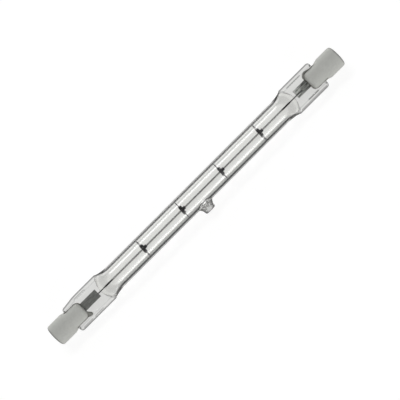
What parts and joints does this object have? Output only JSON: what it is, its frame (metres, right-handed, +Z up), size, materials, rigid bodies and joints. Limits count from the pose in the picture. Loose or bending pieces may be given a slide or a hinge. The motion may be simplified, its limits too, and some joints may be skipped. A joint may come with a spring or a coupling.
{
  "type": "linear halogen bulb",
  "caption": "Double-ended linear halogen bulb: a clear quartz tube with flat press seals, a coiled filament on wound supports, and a ceramic cap with a recessed contact at each end.",
  "frame": {"origin": "on the lamp's axis, midway between the two ceramic end faces", "axes": "X along the lamp from the left cap to the right cap; Z up as the lamp lies on its tube and on its exhaust tip, which points down towards -Y; the flat press seals are rolled with it, 22.9 degrees about X"},
  "size_m": [0.1176, 0.011, 0.0078],
  "materials": {
    "quartz_glass": "clear, fire-polished",
    "tungsten": "drawn wire, dark grey",
    "molybdenum_wire": "drawn wire, dull",
    "molybdenum_foil": "rolled foil seen through glass",
    "steatite_ceramic": "pressed and fired, unglazed, matte",
    "cap_cement": "dry, slightly porous",
    "contact_nickel": "nickel, satin"
  },
  "bodies": {
    "root": {"quartz_envelope": "quartz_glass", "filament": "tungsten", "filament_support_1": "tungsten", "filament_support_2": "tungsten", "filament_support_3": "tungsten", "filament_support_4": "tungsten", "inner_lead_left": "molybdenum_wire", "inner_lead_right": "molybdenum_wire", "outer_lead_left": "molybdenum_wire", "outer_lead_right": "molybdenum_wire", "foil_left": "molybdenum_foil", "foil_right": "molybdenum_foil", "ceramic_cap_left": "steatite_ceramic", "ceramic_cap_right": "steatite_ceramic", "cement_left": "cap_cement", "cement_right": "cap_cement", "contact_left": "contact_nickel", "contact_right": "contact_nickel"}
  },
  "joints": []
}
